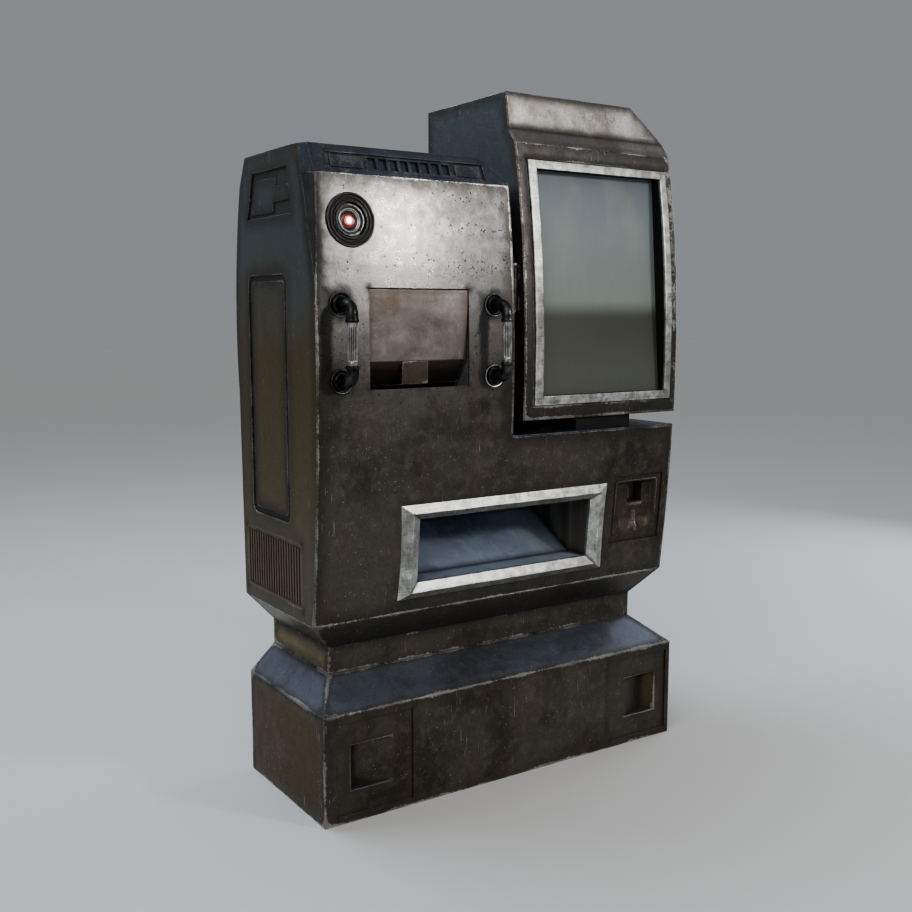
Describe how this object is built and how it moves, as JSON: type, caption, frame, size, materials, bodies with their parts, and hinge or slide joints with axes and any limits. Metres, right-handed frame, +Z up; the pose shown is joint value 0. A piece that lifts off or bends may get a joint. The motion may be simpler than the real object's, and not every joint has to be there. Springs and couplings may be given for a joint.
{
  "type": "cash machine",
  "caption": "Free-standing lobby cash machine: barrel-fronted steel cabinet on a plinth, deposit flap, cash tray, card reader, camera, grab handles and a swing-out display unit.",
  "frame": {"origin": "middle of the plinth's footprint on the floor, which is the middle of the four floor anchor holes", "axes": "+Z up, +Y towards the back, +X to the right as a customer sees it"},
  "size_m": [1.002, 0.4817, 1.588],
  "materials": {
    "worn_steel": "worn, pitted gunmetal steel with bright rubbed edges and brown stains",
    "bright_steel": "bright scuffed bevelled steel",
    "blue_paint": "blue-grey baked paint, scratched to metal",
    "dark_casting": "near-black enamel rubbed bright at the bends",
    "grip_metal": "fluted bare metal, hand polished",
    "black_trim": "black satin moulding",
    "screen_glass": "grey-green coated display glass",
    "panel_black": "unlit display panel",
    "chrome": "polished",
    "lens_glass": "dark coated dome",
    "lamp_red": "glowing red indicator",
    "roller_rubber": "matt drive rubber on steel shafts",
    "zinc_plate": "zinc-plated sheet and hardware",
    "case_plastic": "grey moulded case"
  },
  "bodies": {
    "cabinet": {"plinth_skirt": "worn_steel", "plinth_floor": "zinc_plate", "plinth_pocket_left": "worn_steel", "plinth_pocket_right": "worn_steel", "neck_collar": "worn_steel", "front_fascia": "worn_steel", "left_side_cover": "worn_steel", "right_side_cover": "worn_steel", "tower_right_wall": "worn_steel", "tower_roof": "worn_steel", "lower_deck": "worn_steel", "rear_frame": "worn_steel", "left_upper_plate": "worn_steel", "left_tall_panel": "worn_steel", "left_louvre": "worn_steel", "roof_vent": "worn_steel", "camera_housing": "black_trim", "camera_chrome_ring": "chrome", "camera_lens": "lens_glass", "camera_lamp": "lamp_red", "left_handle_grip": "grip_metal", "left_handle_brackets": "dark_casting", "right_handle_grip": "grip_metal", "right_handle_brackets": "dark_casting", "handle_nuts": "zinc_plate", "deposit_pocket": "zinc_plate", "deposit_hinge_pin": "zinc_plate", "deposit_bin": "zinc_plate", "tray_bezel": "bright_steel", "tray_chute": "blue_paint", "delivery_bracket": "zinc_plate", "card_surround": "worn_steel", "card_mouth": "worn_steel", "card_guide": "worn_steel", "card_reader": "case_plastic", "tower_hinge_leaf": "dark_casting", "screen_hinge_pin": "zinc_plate", "screen_rest": "black_trim", "door_hinges": "zinc_plate", "service_shelf": "zinc_plate", "cassette_rack": "zinc_plate", "note_cassettes": "case_plastic", "controller_box": "zinc_plate", "power_supply": "zinc_plate"},
    "deposit_door": {"deposit_flap": "worn_steel", "deposit_tab": "worn_steel"},
    "display_unit": {"screen_left_side": "worn_steel", "screen_right_side": "worn_steel", "screen_wrap": "worn_steel", "screen_front": "worn_steel", "screen_hood": "worn_steel", "screen_bezel": "bright_steel", "screen_recess": "black_trim", "screen_glass": "screen_glass", "display_panel": "panel_black", "screen_hinge_leaf": "dark_casting"},
    "service_door": {"rear_door": "worn_steel"},
    "door_handle": {"door_lever": "dark_casting"},
    "drive_roller_body": {"drive_roller": "roller_rubber"},
    "pinch_roller_body": {"pinch_roller": "roller_rubber"}
  },
  "joints": [
    {"name": "deposit_flap_hinge", "type": "hinge", "parent": "cabinet", "child": "deposit_door", "pos_m": [-0.2515, -0.17361, 1.131], "axis": [1, 0, 0], "range_deg": [-75, 0]},
    {"name": "display_swing", "type": "hinge", "parent": "cabinet", "child": "display_unit", "pos_m": [0.012, -0.162, 1.146], "axis": [0, 0, 1], "range_deg": [-55, 0]},
    {"name": "service_door_hinge", "type": "hinge", "parent": "cabinet", "child": "service_door", "pos_m": [0.469, 0.222, 0.61], "axis": [0, 0, -1], "range_deg": [0, 110]},
    {"name": "door_handle_turn", "type": "hinge", "parent": "service_door", "child": "door_handle", "pos_m": [-0.43, 0.213, 0.632], "axis": [0, 1, 0], "range_deg": [0, 90]},
    {"name": "drive_roller_spin", "type": "hinge", "parent": "cabinet", "child": "drive_roller_body", "pos_m": [0, 0.092, 0.6], "axis": [1, 0, 0], "continuous": true},
    {"name": "pinch_roller_spin", "type": "hinge", "parent": "cabinet", "child": "pinch_roller_body", "pos_m": [0, 0.092, 0.628], "axis": [1, 0, 0], "continuous": true}
  ],
  "couplings": [
    {"joint": "pinch_roller_spin", "follows": "drive_roller_spin", "ratio": -1}
  ]
}
